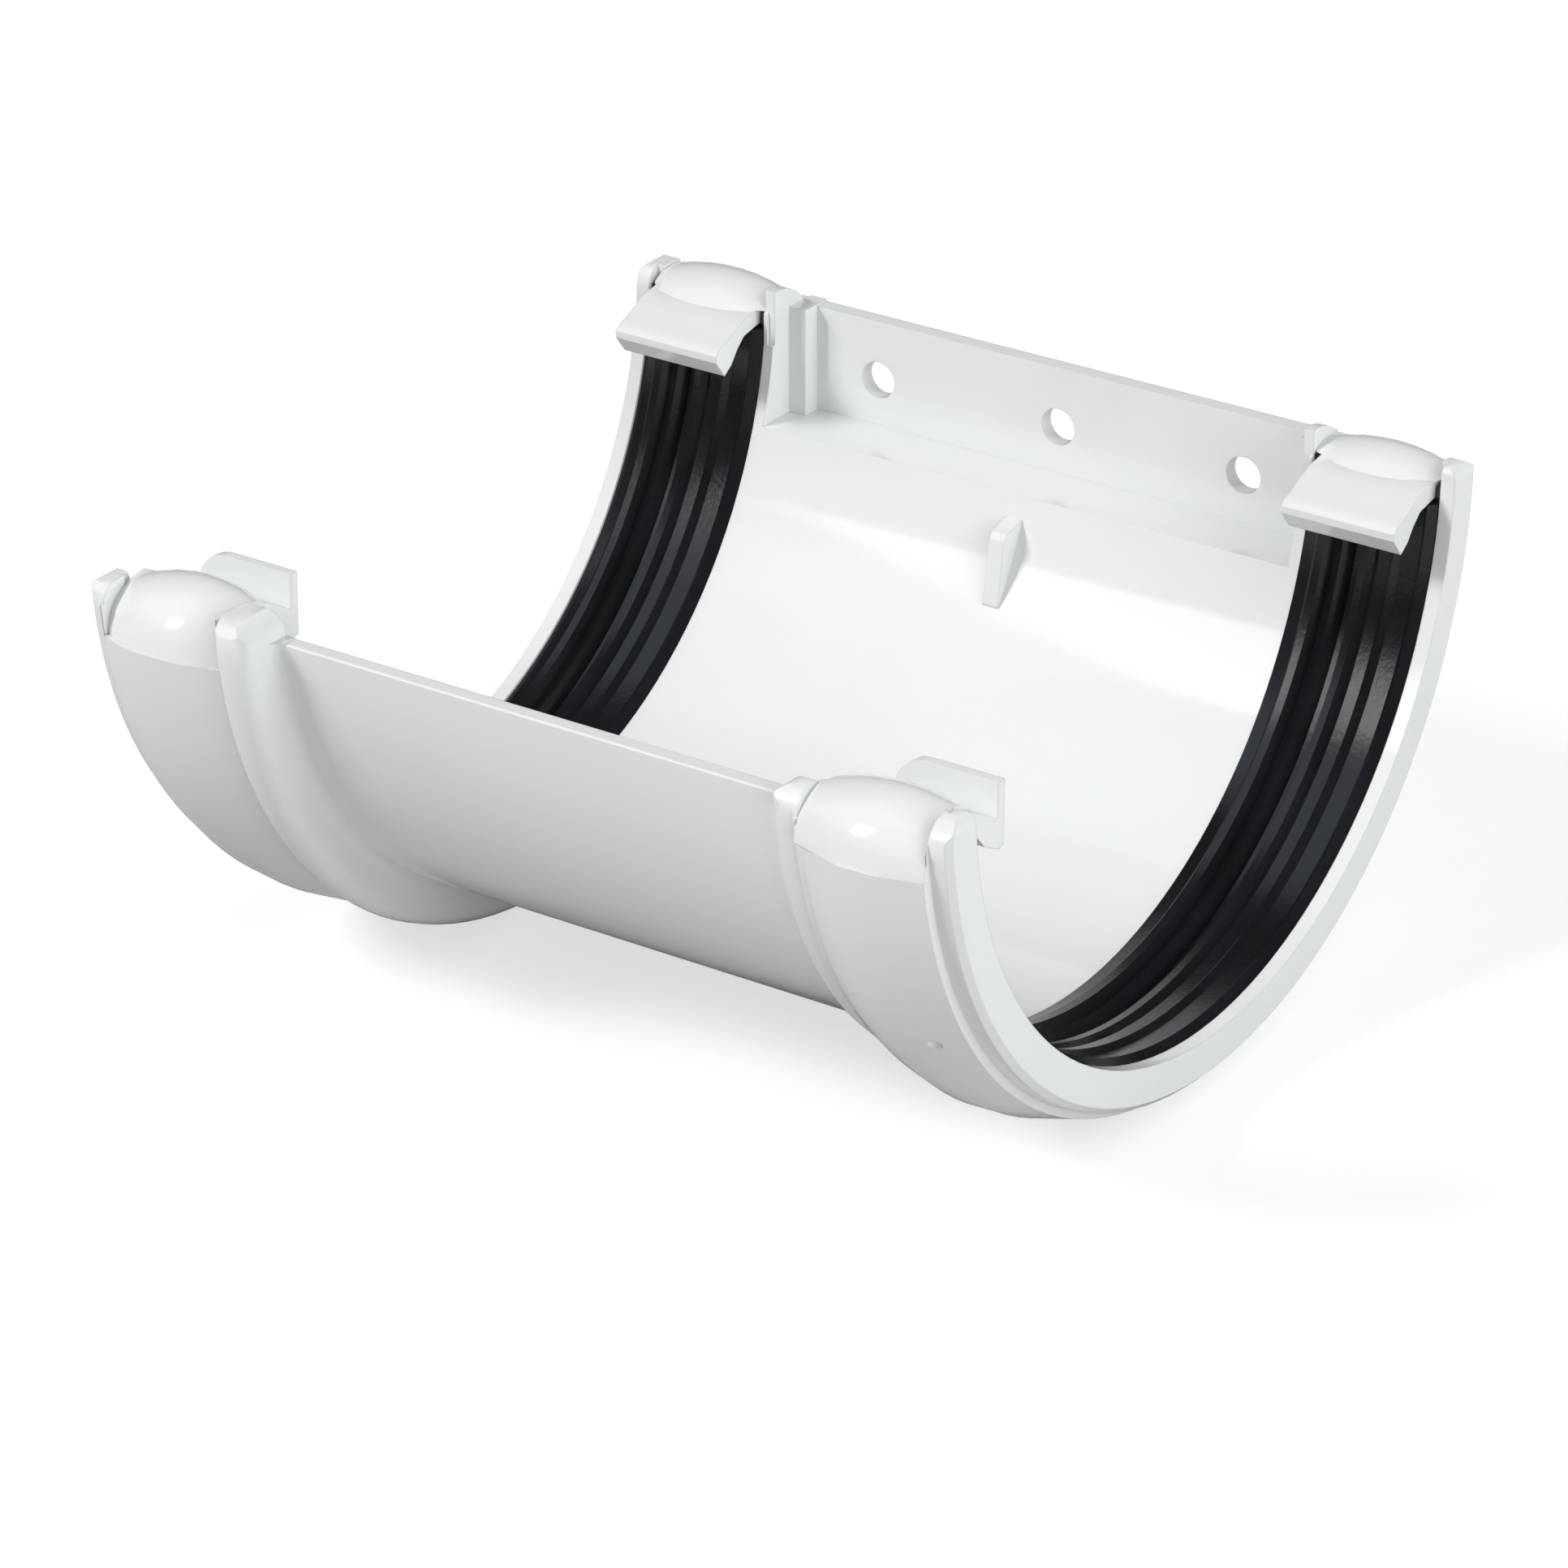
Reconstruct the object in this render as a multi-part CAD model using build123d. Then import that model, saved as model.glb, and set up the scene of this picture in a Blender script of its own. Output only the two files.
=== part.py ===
from build123d import *
import math
import os

os.makedirs("parts", exist_ok=True)

# Gutter union for half-round rainwater gutter of 112 mm nominal width.
# It is worked out round the gutter axis: X along the gutter, Y towards the fascia board, Z up.
# All sizes are millimetres. The finished pieces are moved so that the middle screw hole,
# on the back face of the fascia plate, is the origin.

# The gutter that the union joins
GUTTER_R = 56.0

# Overall run and channel
HALF_LENGTH = 64.0
TROUGH_R = GUTTER_R + 0.6
WALL = 2.1
TROUGH_OUT_R = TROUGH_R + WALL
RIM_BORE_R = GUTTER_R + 0.2
FRONT_EDGE_Z = -6.4
EDGE_BEVEL = 0.6

# Seal seat, shared by the moulding and by the seals
SEAL_INNER_X = 42.95
SEAL_OUTER_X = 61.95
SEAT_R = 58.2
SEAL_CONTACT_R = GUTTER_R - 0.5
SEAL_END_GAP = 0.4

# Slots that free the clips, and the seal horns that stand in them
SLOT_W = 1.2
SLOT_R = 60.0
SLOT_BOTTOM_Z = -15.5
SLOT_TOP_REAR_Z = -2.4
SLOT_TOP_FRONT_Z = -7.0
HORN_GAP = 0.3
HORN_R = GUTTER_R + 0.9

# Outside of the two sockets as distance along the gutter and radius.
# Both have the same hand: a low rim on one side, and a groove with a rounded flange on the other.
LEFT_RIM = [(-64.0, 61.0), (-63.2, 62.0), (-61.2, 62.4)]
LEFT_BAND = [(-61.0, 63.3), (-57.8, 64.6), (-53.5, 65.2), (-48.5, 64.8), (-42.4, 63.4)]
LEFT_GROOVE = (-42.0, 62.7)
LEFT_CREST = [(-41.6, 64.5), (-40.8, 65.0), (-39.7, 65.2)]
FLANGE_X = -37.0
FLANGE_ROUND_R = 2.7
FLANGE_TOE_R = 1.5
RIGHT_TOE = [(36.0, TROUGH_OUT_R), (37.4, 59.0), (38.4, 59.8)]
RIGHT_RIB = [(38.7, 60.9), (40.1, 61.4), (41.6, 61.3)]
RIGHT_BAND = [(42.0, 61.9), (46.3, 63.9), (50.2, 65.0), (54.4, 64.9), (60.9, 63.2)]
RIGHT_RIM = [(61.1, 62.0), (63.2, 61.8), (64.0, 61.0)]

# Rounded caps over the clips: radius at the left end, near the middle and at the right end.
# The crown runs on over the hook, as far and as low as the place (y, z) that is given for it.
CAP_LEFT_X = [-61.0, -50.5, -42.4]
CAP_RIGHT_X = [42.4, 53.0, 61.0]
FRONT_CAP_Y = -56.0
FRONT_CAP_Z = -10.2
FRONT_CAP_LEFT_R = [5.7, 7.8, 5.7]
FRONT_CAP_RIGHT_R = [5.9, 7.7, 6.3]
FRONT_CREASE_Z = -10.2
FRONT_CROWN = (-50.0, -6.5)
REAR_CAP_Y = 60.0
REAR_CAP_Z = -7.1
REAR_CAP_LEFT_R = [6.3, 7.5, 5.7]
REAR_CAP_RIGHT_R = [5.4, 6.9, 5.3]
REAR_CREASE_Z = -7.1
REAR_CROWN = (53.5, -3.2)

# Walls that stand beside the caps. "front" is height and outer rounding, "rear" is height, outer
# rounding and rounding over the bore, and "end" is the rounded end with its radii in front and behind
WALLS = [
    {"x": (-64.5, -61.0), "out": 62.4, "bore": RIM_BORE_R, "front": (-3.6, 2.4), "rear": (-0.4, 1.0, 2.4),
     "end": (-HALF_LENGTH, 1.3, 1.0)},
    {"x": (-42.4, -35.0), "out": 65.2, "bore": TROUGH_R, "front": (-2.7, 3.0), "rear": (-2.6, 1.0, 0.5),
     "end": (FLANGE_X, 3.6, 1.0)},
    {"x": (35.0, 42.4), "out": 61.3, "bore": TROUGH_R, "front": (-3.9, 3.5), "rear": (-2.6, 1.0, 0.5),
     "end": (37.2, 4.6, 1.0)},
    {"x": (61.0, 64.5), "out": 62.0, "bore": RIM_BORE_R, "front": (-2.4, 4.2), "rear": (0.2, 3.0, 1.0),
     "end": (HALF_LENGTH, 1.6, 1.6)},
]
FRONT_BORE_R = 1.0

# Thin walls between the rear slots and the fascia plate, rounded about the clip's root
ROOT_X = 41.4
ROOT_Y = 57.3
ROOT_Z = -7.1
ROOT_R = 7.7

# Clip hooks, as a side view (distance towards the fascia, height)
CLIP_INNER_X = SEAL_INNER_X + SLOT_W
CLIP_OUTER_X = SEAL_OUTER_X - SLOT_W
REAR_UNDER_Z = -4.6
FRONT_UNDER_Z = -8.0
REAR_HOOK = [(60.8, -2.8), (58.6, -2.4), (56.2, -2.4), (53.4, -2.8), (50.8, -3.9), (48.6, -4.9), (47.2, -5.3),
             (46.5, -6.0), (46.6, -7.0), (48.6, -9.5), (50.2, -8.4), (51.6, -6.6), (53.2, -5.2),
             (56.4, REAR_UNDER_Z), (59.2, REAR_UNDER_Z)]
FRONT_HOOK = [(-60.0, -6.0), (-57.5, -4.2), (-54.5, -3.9), (-48.7, -7.0), (-46.3, -8.4), (-46.1, -3.7),
              (-44.8, -3.7), (-44.9, -12.2), (-46.0, -12.5), (-49.0, -11.0), (-50.9, -8.9), (-53.5, FRONT_UNDER_Z),
              (-59.2, FRONT_UNDER_Z)]
LATCH_Y = -46.4
LATCH_TOP_Z = -3.7
LATCH_STEP = 2.0
LATCH_CORNER_R = 4.5

# Fascia plate with its screw holes, and the shelf below it
PLATE_FRONT_Y = 63.0
PLATE_THICK = 2.3
FASCIA_Y = PLATE_FRONT_Y + PLATE_THICK
PLATE_TOP_Z = -2.9
PLATE_END_X = SEAL_INNER_X - 0.05
POST_X = 38.8
POST_FRONT_Y = 60.1
POST_RISE = 0.3
SHELF_Z = -18.0
HOLE_PITCH = 28.8
HOLE_COUNT = 3
HOLE_R = 2.6
HOLE_Z = -11.4

# Gutter stop fin at mid length
FIN_THICK = 2.4
FIN_SIDE = [(54.0, -20.6), (53.0, -20.7), (48.9, -21.7), (48.2, -22.5), (46.7, -31.4), (47.2, -32.4), (49.0, -31.8)]

# Gate mark under the right socket
GATE_X = 56.6
GATE_Y = -53.0
GATE_Z = -37.0
GATE_R = 1.0

# Seal section across its width, as share of the width and of the height above the seat
SEAL_W = SEAL_OUTER_X - SEAL_INNER_X
SEAL_H = SEAT_R - SEAL_CONTACT_R
SEAL_SECTION = [(0.0, 0.60), (0.10, 0.76), (0.13, 0.98), (0.19, 0.98), (0.24, 0.52), (0.32, 0.90), (0.385, 0.28),
                (0.425, 0.28), (0.46, 0.80), (0.52, 0.86), (0.56, 0.62), (0.60, 0.80), (0.69, 0.80), (0.72, 1.0),
                (0.76, 0.70), (0.89, 0.70), (0.93, 1.0), (1.0, 0.60)]


def ring(lines, above):
    """Solid of revolution round the gutter axis, from the front over the bottom to the rear."""
    face = Rot(-90 - above, 0, 0) * (Rot(90, 0, 0) * make_face(lines))
    return revolve(face, Axis.X, 180 + 2 * above)


def outward(points):
    return [(x, -r) for x, r in points]


def block(x0, x1, y0, y1, z0, z1):
    return Pos((x0 + x1) / 2, (y0 + y1) / 2, (z0 + z1) / 2) * Box(x1 - x0, y1 - y0, z1 - z0)


def side_plate(points, x0, x1):
    """Side-view outline pushed along the gutter from x0 to x1."""
    face = Plane.YZ * make_face(Polyline([*points, points[0]]))
    return Pos(x0, 0, 0) * extrude(face, x1 - x0)


def tube(x0, x1, r):
    """Full cylinder round the gutter axis."""
    return Pos((x0 + x1) / 2, 0, 0) * Rot(0, 90, 0) * Cylinder(r, x1 - x0)


def round_along_x(x0, x1, y, z, r, side):
    """Cutter for an upper corner at (y, z) that runs along the gutter; side is -1 front, 1 rear."""
    y_in = y - side * r
    corner = block(x0, x1, min(y_in, y + side), max(y_in, y + side), z - r, z + 1)
    return corner - Pos((x0 + x1) / 2, y_in, z - r) * Rot(0, 90, 0) * Cylinder(r, x1 - x0 + 2)


def round_along_y(y0, y1, x, z, r, side):
    """Cutter for an upper corner at (x, z) that runs across the gutter; side is -1 left, 1 right."""
    x_in = x - side * r
    corner = block(min(x_in, x + 2 * side), max(x_in, x + 2 * side), y0, y1, z - r, z + 1)
    return corner - Pos(x_in, (y0 + y1) / 2, z - r) * Rot(90, 0, 0) * Cylinder(r, y1 - y0 + 2)


def bow(points, pieces):
    """Short straight pieces along the arc through three points."""
    arc = ThreePointArc(*points)
    found = [arc @ (i / pieces) for i in range(pieces + 1)]
    return [(p.X, p.Y) for p in found]


def quarter(x, y, r, pieces):
    """Quarter turn round the centre (x, y), starting at the lowest point, as short straight pieces."""
    turns = [math.pi / 2 * i / pieces for i in range(pieces + 1)]
    return [(x + r * math.sin(t), y - r * math.cos(t)) for t in turns]


def left_outline():
    band = outward(LEFT_BAND)
    crest = outward(LEFT_CREST)
    flange = quarter(FLANGE_X - FLANGE_ROUND_R, crest[2][1] + FLANGE_ROUND_R, FLANGE_ROUND_R, 4)
    toe_x = FLANGE_X + FLANGE_TOE_R
    toe = quarter(toe_x, -TROUGH_OUT_R - FLANGE_TOE_R, -FLANGE_TOE_R, 3)
    bore = [(toe_x, -TROUGH_R), (-SEAL_INNER_X, -TROUGH_R), (-SEAL_INNER_X, -SEAT_R),
            (-SEAL_OUTER_X, -SEAT_R), (-SEAL_OUTER_X, -RIM_BORE_R), (-HALF_LENGTH, -RIM_BORE_R)]
    outline = [*bore, *outward(LEFT_RIM), *bow(band[0:3], 2), *bow(band[2:5], 2)[1:]]
    outline += [(LEFT_GROOVE[0], -LEFT_GROOVE[1]), *crest[0:2], *flange, *reversed(toe)]
    return Polyline([*outline, bore[0]])


def right_outline():
    band = outward(RIGHT_BAND)
    bore = [(HALF_LENGTH, -RIM_BORE_R), (SEAL_OUTER_X, -RIM_BORE_R), (SEAL_OUTER_X, -SEAT_R),
            (SEAL_INNER_X, -SEAT_R), (SEAL_INNER_X, -TROUGH_R), (RIGHT_TOE[0][0], -TROUGH_R)]
    outline = [*bore, *outward(RIGHT_TOE), *outward(RIGHT_RIB), band[0], *bow(band[1:4], 2), band[4]]
    return Polyline([*outline, *outward(RIGHT_RIM), bore[0]])


def cap(xs, radii, y, z, crease_z, crown):
    """Crowned nose over one clip: a barrel whose axis runs along the gutter."""
    line = Polyline([*bow(list(zip(xs, radii)), 8), (xs[2], 0), (xs[0], 0), (xs[0], radii[0])])
    barrel = Pos(0, y, z) * revolve(make_face(line), Axis.X, 360)
    side = -1 if y < 0 else 1
    near, far = sorted((side * RIM_BORE_R, side * 80))
    room = block(xs[0] - 1, xs[2] + 1, near, far, crease_z, 20)
    near, far = sorted((crown[0], side * RIM_BORE_R))
    return barrel & (room + block(xs[0] + SLOT_W, xs[2] - SLOT_W, near, far, crown[1], 20))


# Union body: sockets and trough
left = ring([left_outline()], 6)
right = ring([right_outline()], 6)
channel = [(-36.5, -TROUGH_R), (37.5, -TROUGH_R), (37.5, -TROUGH_OUT_R), (-36.5, -TROUGH_OUT_R)]
trough = ring([Polyline([*channel, channel[0]])], 0)
trough -= block(-60, 60, -80, 0, FRONT_EDGE_Z, 20)
trough -= block(-60, 60, 0, 80, SHELF_Z, 20)
bevel = side_plate([(-TROUGH_OUT_R - 1, FRONT_EDGE_Z + 1), (-TROUGH_OUT_R + EDGE_BEVEL + 1, FRONT_EDGE_Z + 1),
                    (-TROUGH_OUT_R - 1, FRONT_EDGE_Z - EDGE_BEVEL - 1)], -60, 60)
trough -= bevel
sockets = left + right

# Walls beside the caps, cut to height and rounded
for wall in WALLS:
    x0, x1 = wall["x"]
    front_z, front_r = wall["front"]
    rear_z, rear_r, rear_bore_r = wall["rear"]
    end_x, end_front_r, end_rear_r = wall["end"]
    end_side = 1 if end_x > (x0 + x1) / 2 else -1
    front_y = (wall["out"] ** 2 - front_z**2) ** 0.5
    rear_y = min(wall["out"], FASCIA_Y)
    sockets -= block(x0, x1, -80, 0, front_z, 40)
    sockets -= block(x0, x1, 0, 80, rear_z, 40)
    sockets -= round_along_x(x0, x1, -front_y, front_z, front_r, -1)
    sockets -= round_along_x(x0, x1, -wall["bore"], front_z, FRONT_BORE_R, 1)
    sockets -= round_along_x(x0, x1, rear_y, rear_z, rear_r, 1)
    sockets -= round_along_x(x0, x1, wall["bore"], rear_z, rear_bore_r, -1)
    sockets -= round_along_y(-80, 0, end_x, front_z, end_front_r, end_side)
    sockets -= round_along_y(0, 80, end_x, rear_z, end_rear_r, end_side)

# Clip zones are opened down to the crease and closed by the caps
for xs in (CAP_LEFT_X, CAP_RIGHT_X):
    sockets -= block(xs[0], xs[2], -80, 0, FRONT_CREASE_Z, 20)
    sockets -= block(xs[0], xs[2], 0, 80, REAR_CREASE_Z, 20)

# Above the shelf the flange and the rib give way to the plate, its posts and the thin root walls
for side in (-1, 1):
    inner, outer = sorted((side * 30, side * ROOT_X))
    sockets -= block(inner, outer, 0, 80, SHELF_Z, 20)
    root_in, root_out = sorted((side * ROOT_X, side * PLATE_END_X))
    sockets -= block(root_in, root_out, 0, 80, ROOT_Z, 20)
    disc = Pos((root_in + root_out) / 2, ROOT_Y, ROOT_Z) * Rot(0, 90, 0) * Cylinder(ROOT_R, root_out - root_in)
    sockets += disc & block(root_in, root_out, TROUGH_R, FASCIA_Y, ROOT_Z, 20)
    sockets += block(root_in, root_out, TROUGH_R + 1, FASCIA_Y, SHELF_Z - WALL, ROOT_Z)
body = sockets + trough
body += cap(CAP_LEFT_X, FRONT_CAP_LEFT_R, FRONT_CAP_Y, FRONT_CAP_Z, FRONT_CREASE_Z, FRONT_CROWN)
body += cap(CAP_RIGHT_X, FRONT_CAP_RIGHT_R, FRONT_CAP_Y, FRONT_CAP_Z, FRONT_CREASE_Z, FRONT_CROWN)
body += cap(CAP_LEFT_X, REAR_CAP_LEFT_R, REAR_CAP_Y, REAR_CAP_Z, REAR_CREASE_Z, REAR_CROWN)
body += cap(CAP_RIGHT_X, REAR_CAP_RIGHT_R, REAR_CAP_Y, REAR_CAP_Z, REAR_CREASE_Z, REAR_CROWN)

# Seal seat below the hooks, and the slots that free the clips
for x0, x1 in ((-SEAL_OUTER_X, -SEAL_INNER_X), (SEAL_INNER_X, SEAL_OUTER_X)):
    seat = tube(x0, x1, SEAT_R)
    body -= seat & block(x0, x1, -80, 0, -80, FRONT_UNDER_Z)
    body -= seat & block(x0, x1, 0, 80, -80, REAR_UNDER_Z)
for x0 in (-SEAL_OUTER_X, -CLIP_INNER_X, SEAL_INNER_X, CLIP_OUTER_X):
    depth = tube(x0, x0 + SLOT_W, SLOT_R)
    body -= depth & block(x0, x0 + SLOT_W, -80, -50, SLOT_BOTTOM_Z, SLOT_TOP_FRONT_Z)
    body -= depth & block(x0, x0 + SLOT_W, 50, 80, SLOT_BOTTOM_Z, SLOT_TOP_REAR_Z)

# Hooks of the clips
for x0, x1 in ((-CLIP_OUTER_X, -CLIP_INNER_X), (CLIP_INNER_X, CLIP_OUTER_X)):
    front = side_plate(FRONT_HOOK, x0, x1)
    front -= block(x0 - 1, x0 + LATCH_STEP, LATCH_Y, -40, -20, 0)
    front -= round_along_y(LATCH_Y, -40, x0 + LATCH_STEP, LATCH_TOP_Z, LATCH_CORNER_R, -1)
    body += front
    body += side_plate(REAR_HOOK, x0, x1)

# Fascia plate, shelf, end post and screw holes
body += block(-PLATE_END_X, PLATE_END_X, PLATE_FRONT_Y, FASCIA_Y, SHELF_Z - WALL, PLATE_TOP_Z)
shelf = block(-ROOT_X, ROOT_X, 50, FASCIA_Y, SHELF_Z - WALL, SHELF_Z)
body += shelf - tube(-50, 50, TROUGH_R)
for x0, x1 in ((-ROOT_X, -POST_X), (POST_X, ROOT_X)):
    body += block(x0, x1, POST_FRONT_Y, FASCIA_Y, SHELF_Z - WALL, PLATE_TOP_Z + POST_RISE)
for i in range(HOLE_COUNT):
    x = (i - (HOLE_COUNT - 1) / 2) * HOLE_PITCH
    body -= Pos(x, PLATE_FRONT_Y, HOLE_Z) * Rot(90, 0, 0) * Cylinder(HOLE_R, 4 * PLATE_THICK)

# Gutter stop fin
fin = side_plate(FIN_SIDE, -FIN_THICK / 2, FIN_THICK / 2)
body += fin

# Gate mark
body -= Pos(GATE_X, GATE_Y, GATE_Z) * Sphere(GATE_R)
body -= block(-80, 80, FASCIA_Y, 90, -90, 40)

# Seals: one ring with horns into the slots, used twice
section = [(SEAL_INNER_X + u * SEAL_W, -(SEAT_R - h * SEAL_H)) for u, h in SEAL_SECTION]
outline = [(SEAL_INNER_X, -SEAT_R), *section, (SEAL_OUTER_X, -SEAT_R), (SEAL_INNER_X, -SEAT_R)]
seal = ring([Polyline(outline)], 0)
seal -= block(0, 80, -80, 0, FRONT_UNDER_Z - SEAL_END_GAP, 20)
seal -= block(0, 80, 0, 80, REAR_UNDER_Z - SEAL_END_GAP, 20)
horn = tube(SEAL_INNER_X, SEAL_OUTER_X, SLOT_R) - tube(SEAL_INNER_X, SEAL_OUTER_X, HORN_R)
for x0, x1 in ((SEAL_INNER_X, CLIP_INNER_X - HORN_GAP), (CLIP_OUTER_X + HORN_GAP, SEAL_OUTER_X)):
    seal += horn & block(x0, x1, -80, -50, SLOT_BOTTOM_Z, SLOT_TOP_FRONT_Z - HORN_GAP)
    seal += horn & block(x0, x1, 50, 80, SLOT_BOTTOM_Z, SLOT_TOP_REAR_Z - HORN_GAP)
seal_left = Pos(-SEAL_INNER_X - SEAL_OUTER_X, 0, 0) * seal

# Out to the frame of the middle screw hole
home = Pos(0, -FASCIA_Y, -HOLE_Z)
pieces = {"union_body": body, "seal_left": seal_left, "seal_right": seal}
for name, piece in pieces.items():
    solid = home * piece
    print(name, len(solid.solids()), round(solid.volume, 1), solid.is_valid)
    export_step(solid.solids()[0] if len(solid.solids()) == 1 else solid, "parts/" + name + ".step")
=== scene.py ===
import bpy
from mathutils import Matrix, Vector


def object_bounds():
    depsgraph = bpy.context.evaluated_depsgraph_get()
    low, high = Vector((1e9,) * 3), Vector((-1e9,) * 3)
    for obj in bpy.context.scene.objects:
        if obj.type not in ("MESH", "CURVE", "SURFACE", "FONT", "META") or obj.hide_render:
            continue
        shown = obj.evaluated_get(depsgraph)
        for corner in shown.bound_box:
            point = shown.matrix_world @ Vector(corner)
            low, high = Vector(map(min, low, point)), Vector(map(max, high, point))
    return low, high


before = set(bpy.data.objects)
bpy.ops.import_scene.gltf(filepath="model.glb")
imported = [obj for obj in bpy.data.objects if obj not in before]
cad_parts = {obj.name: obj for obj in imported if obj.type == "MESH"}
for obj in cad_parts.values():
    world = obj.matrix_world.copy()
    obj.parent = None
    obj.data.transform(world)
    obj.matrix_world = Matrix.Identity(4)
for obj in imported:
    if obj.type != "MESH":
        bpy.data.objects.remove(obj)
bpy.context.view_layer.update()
scene = bpy.context.scene

MM = 0.001
WHITE = (1.0, 1.0, 1.0)
OPAQUE = 1.0

# Materials built from nodes


class Nodes:
    """One material, with helpers that add nodes to it and link them."""

    def __init__(self, name):
        self.mat = bpy.data.materials.new(name)
        self.mat.use_nodes = True
        self.tree = self.mat.node_tree
        self.tree.nodes.clear()
        self.out = self.tree.nodes.new("ShaderNodeOutputMaterial")

    def add(self, kind, inputs=None, **props):
        """Adds a node; an input is linked where it is a socket and set where it is a value."""
        node = self.tree.nodes.new(kind)
        for key, value in props.items():
            setattr(node, key, value)
        for key, value in (inputs or {}).items():
            if isinstance(value, bpy.types.NodeSocket):
                self.tree.links.new(value, node.inputs[key])
            else:
                node.inputs[key].default_value = value
        return node

    def noise(self, coords, scale, detail, roughness=0.5):
        return self.add("ShaderNodeTexNoise", {
            "Vector": coords, "Scale": scale, "Detail": detail, "Roughness": roughness}).outputs["Fac"]

    def fit(self, value, low, high, to_low, to_high):
        """Maps the span from low to high onto the span from to_low to to_high."""
        return self.add("ShaderNodeMapRange", {
            "Value": value, "From Min": low, "From Max": high,
            "To Min": to_low, "To Max": to_high}).outputs["Result"]

    def blend(self, factor, first, second):
        """Mixes two colours."""
        return self.add("ShaderNodeMix", {
            "Factor": factor, "A": (*first, OPAQUE), "B": (*second, OPAQUE)},
            data_type="RGBA").outputs["Result"]

    def principled(self, colour, rough, ior, bump):
        """Puts the finished shader on the material's surface."""
        shader = self.add("ShaderNodeBsdfPrincipled", {
            "Base Color": colour, "Roughness": rough, "IOR": ior, "Normal": bump.outputs["Normal"]})
        self.tree.links.new(shader.outputs["BSDF"], self.out.inputs["Surface"])


def white_upvc():
    """Gloss white moulding with faint clouds of tint, a fine skin and softly rounded edges."""
    darker = (0.772, 0.793, 0.790)
    lighter = (0.797, 0.815, 0.809)
    edge_radius = 0.00025
    edge_samples = 4
    m = Nodes("white_upvc")
    coords = m.add("ShaderNodeTexCoord").outputs["Object"]
    cloud = m.noise(coords, scale=22.0, detail=3.0)
    grain = m.noise(coords, scale=900.0, detail=2.0)
    skin = m.noise(coords, scale=2600.0, detail=2.0)
    tint = m.blend(m.fit(cloud, 0.35, 0.65, to_low=0.0, to_high=1.0), darker, lighter)
    rough = m.fit(grain, 0.3, 0.7, to_low=0.07, to_high=0.11)
    edges = m.add("ShaderNodeBevel", {"Radius": edge_radius}, samples=edge_samples)
    bump = m.add("ShaderNodeBump", {
        "Strength": 0.015, "Distance": 0.00005, "Height": skin, "Normal": edges.outputs["Normal"]})
    m.principled(tint, rough, 1.46, bump)
    return m.mat


def black_rubber():
    """Satin black rubber with a cloudy gloss and a fine rough skin."""
    darker = (0.006, 0.0065, 0.008)
    lighter = (0.011, 0.012, 0.015)
    m = Nodes("black_rubber")
    coords = m.add("ShaderNodeTexCoord").outputs["Object"]
    cloud = m.noise(coords, scale=60.0, detail=4.0, roughness=0.6)
    skin = m.noise(coords, scale=1400.0, detail=3.0, roughness=0.6)
    tint = m.blend(m.fit(cloud, 0.3, 0.7, to_low=0.0, to_high=1.0), darker, lighter)
    rough = m.fit(cloud, 0.3, 0.7, to_low=0.15, to_high=0.24)
    bump = m.add("ShaderNodeBump", {"Strength": 0.25, "Distance": 0.00008, "Height": skin})
    m.principled(tint, rough, 1.56, bump)
    return m.mat


# The CAD nodes with their materials


def dress(node, mat):
    """Gives a CAD node its material, and smooth shading that is split at the creases."""
    weld_distance = 0.000002
    crease_angle = 0.54
    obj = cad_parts[node]
    obj.data.materials.clear()
    obj.data.materials.append(mat)
    for poly in obj.data.polygons:
        poly.use_smooth = True
    weld = obj.modifiers.new("weld", "WELD")
    weld.merge_threshold = weld_distance
    split = obj.modifiers.new("split", "EDGE_SPLIT")
    split.split_angle = crease_angle


rubber = black_rubber()
dress("union_body", white_upvc())
dress("seal_left", rubber)
dress("seal_right", rubber)

# Floor, lamps and world

low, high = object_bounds()


def floor():
    """Pale floor under the part, which the camera sees as white wherever no shadow falls on it."""
    half = 4.0
    grey = (0.49, 0.49, 0.49)
    glow_strength = 0.63
    z = low.z
    corners = [(-half, -half, z), (half, -half, z), (half, half, z), (-half, half, z)]
    mesh = bpy.data.meshes.new("floor")
    mesh.from_pydata(corners, [], [(0, 1, 2, 3)])
    obj = bpy.data.objects.new("floor", mesh)
    scene.collection.objects.link(obj)
    m = Nodes("floor")
    seen = m.add("ShaderNodeLightPath").outputs["Is Camera Ray"]
    paint = m.add("ShaderNodeBsdfDiffuse", {"Color": (*grey, OPAQUE)})
    glow = m.add("ShaderNodeEmission", {"Color": (*WHITE, OPAQUE), "Strength": glow_strength})
    both = m.add("ShaderNodeAddShader")
    m.tree.links.new(paint.outputs[0], both.inputs[0])
    m.tree.links.new(glow.outputs[0], both.inputs[1])
    mix = m.add("ShaderNodeMixShader", {"Fac": seen})
    m.tree.links.new(paint.outputs[0], mix.inputs[1])
    m.tree.links.new(both.outputs[0], mix.inputs[2])
    m.tree.links.new(mix.outputs[0], m.out.inputs["Surface"])
    obj.data.materials.append(m.mat)


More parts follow.
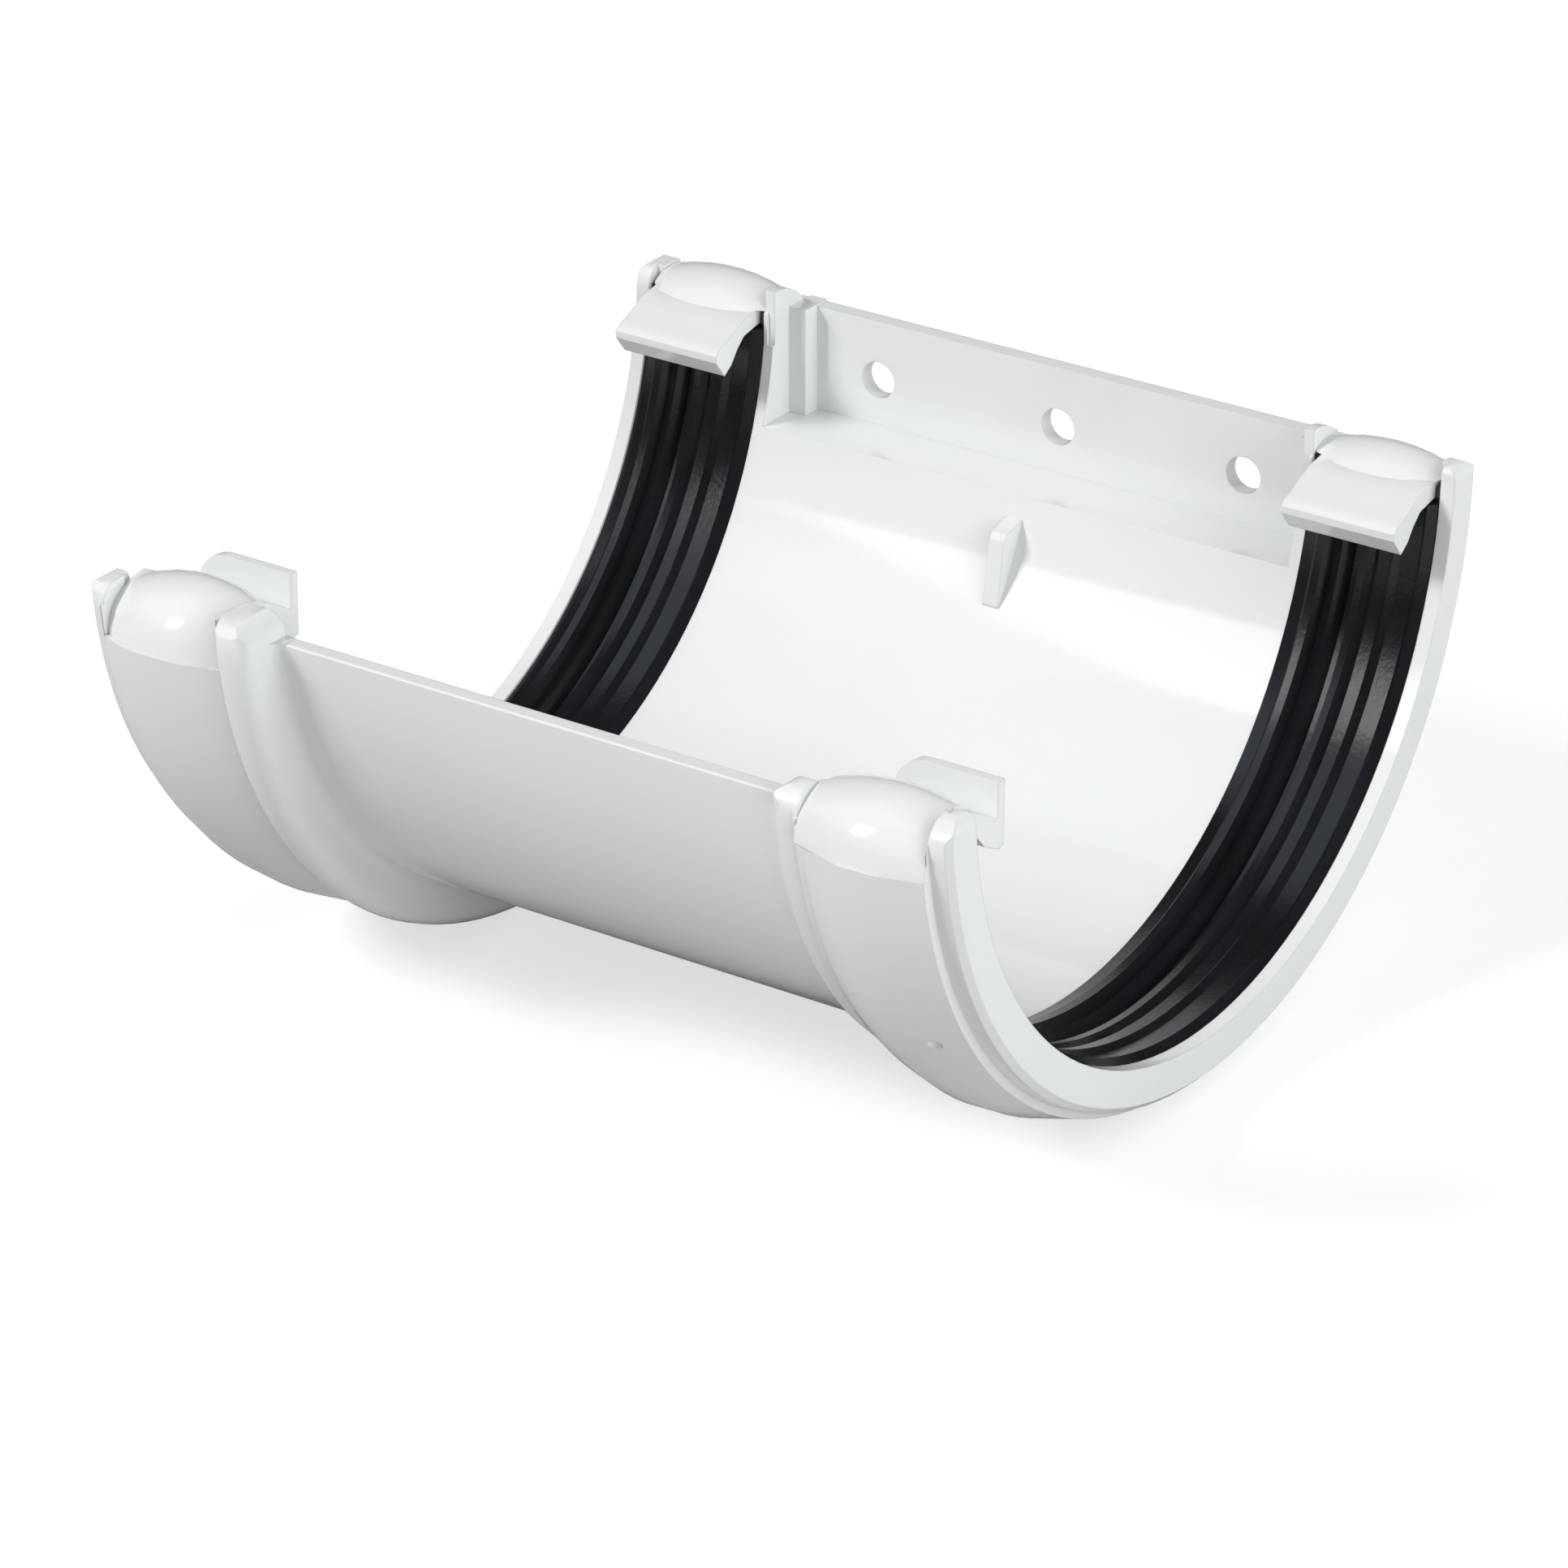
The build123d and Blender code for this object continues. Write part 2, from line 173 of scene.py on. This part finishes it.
def area(name, towards, distance, size, power, colour=WHITE, lights=True, mirrored=True):
    """Soft lamp in one direction from the object, which lights it, is mirrored in it, or both."""
    centre = (low + high) / 2
    light = bpy.data.lights.new(name, "AREA")
    light.shape = "RECTANGLE"
    light.size = size[0]
    light.size_y = size[1]
    light.energy = power
    light.color = colour
    obj = bpy.data.objects.new(name, light)
    direction = Vector(towards).normalized()
    obj.location = centre + direction * distance
    obj.rotation_mode = "QUATERNION"
    obj.rotation_quaternion = direction.to_track_quat("Z", "Y")
    obj.visible_diffuse = lights
    obj.visible_glossy = mirrored
    scene.collection.objects.link(obj)


def surroundings():
    """Faint even light from all sides."""
    strength = 0.04
    world = bpy.data.worlds.new("world")
    world.use_nodes = True
    background = world.node_tree.nodes["Background"]
    background.inputs["Color"].default_value = (*WHITE, OPAQUE)
    background.inputs["Strength"].default_value = strength
    scene.world = world


FAR = 1.5
LARGE = (1.0, 1.0)
WARM = (1.0, 1.0, 0.97)
COOL = (0.95, 0.98, 1.0)
BLUISH = (0.8, 0.89, 1.0)

floor()
area("softbox", (-0.44, -0.702, 0.56), 1.29, (0.21, 0.43), 1.25)
area("sky", (-0.56, -0.33, 0.76), FAR, (1.0, 1.3), 2.8, BLUISH, lights=False)
area("key", (-0.51, -0.59, 0.63), 1.6, (0.42, 0.42), 16.2, WARM, mirrored=False)
area("top", (0.6, 0.0, 0.8), FAR, LARGE, 6.3, mirrored=False)
area("front", (0.9, -0.6, 0.16), FAR, LARGE, 9.8, mirrored=False)
area("side", (0.95, 0.0, 0.4), FAR, LARGE, 7.4, COOL, mirrored=False)
area("left", (-0.9, -0.3, 0.3), FAR, LARGE, 3.8, mirrored=False)
area("back", (0.2, 0.95, 0.25), FAR, LARGE, 10.0, mirrored=False)
surroundings()

# Camera


def photo_camera():
    """Camera with the place, the turn and the lens that were worked out from the photo."""
    camera = bpy.data.cameras.new("camera")
    camera.sensor_width = 36.0
    camera.lens = 159.26
    camera.clip_start = 0.05
    camera.clip_end = 20.0
    place = Vector((451.51, -727.58, 362.17)) * MM
    level = Vector((0.82554, 0.56434, 0.0)).normalized()
    back = Vector((0.50752, -0.74242, 0.43742)).normalized()
    up = back.cross(level).normalized()
    right = up.cross(back).normalized()
    turn = Matrix((right, up, back)).transposed().to_4x4()
    eye = bpy.data.objects.new("camera", camera)
    eye.matrix_world = Matrix.Translation(place) @ turn
    scene.collection.objects.link(eye)
    scene.camera = eye


photo_camera()

scene.view_settings.view_transform = "Standard"
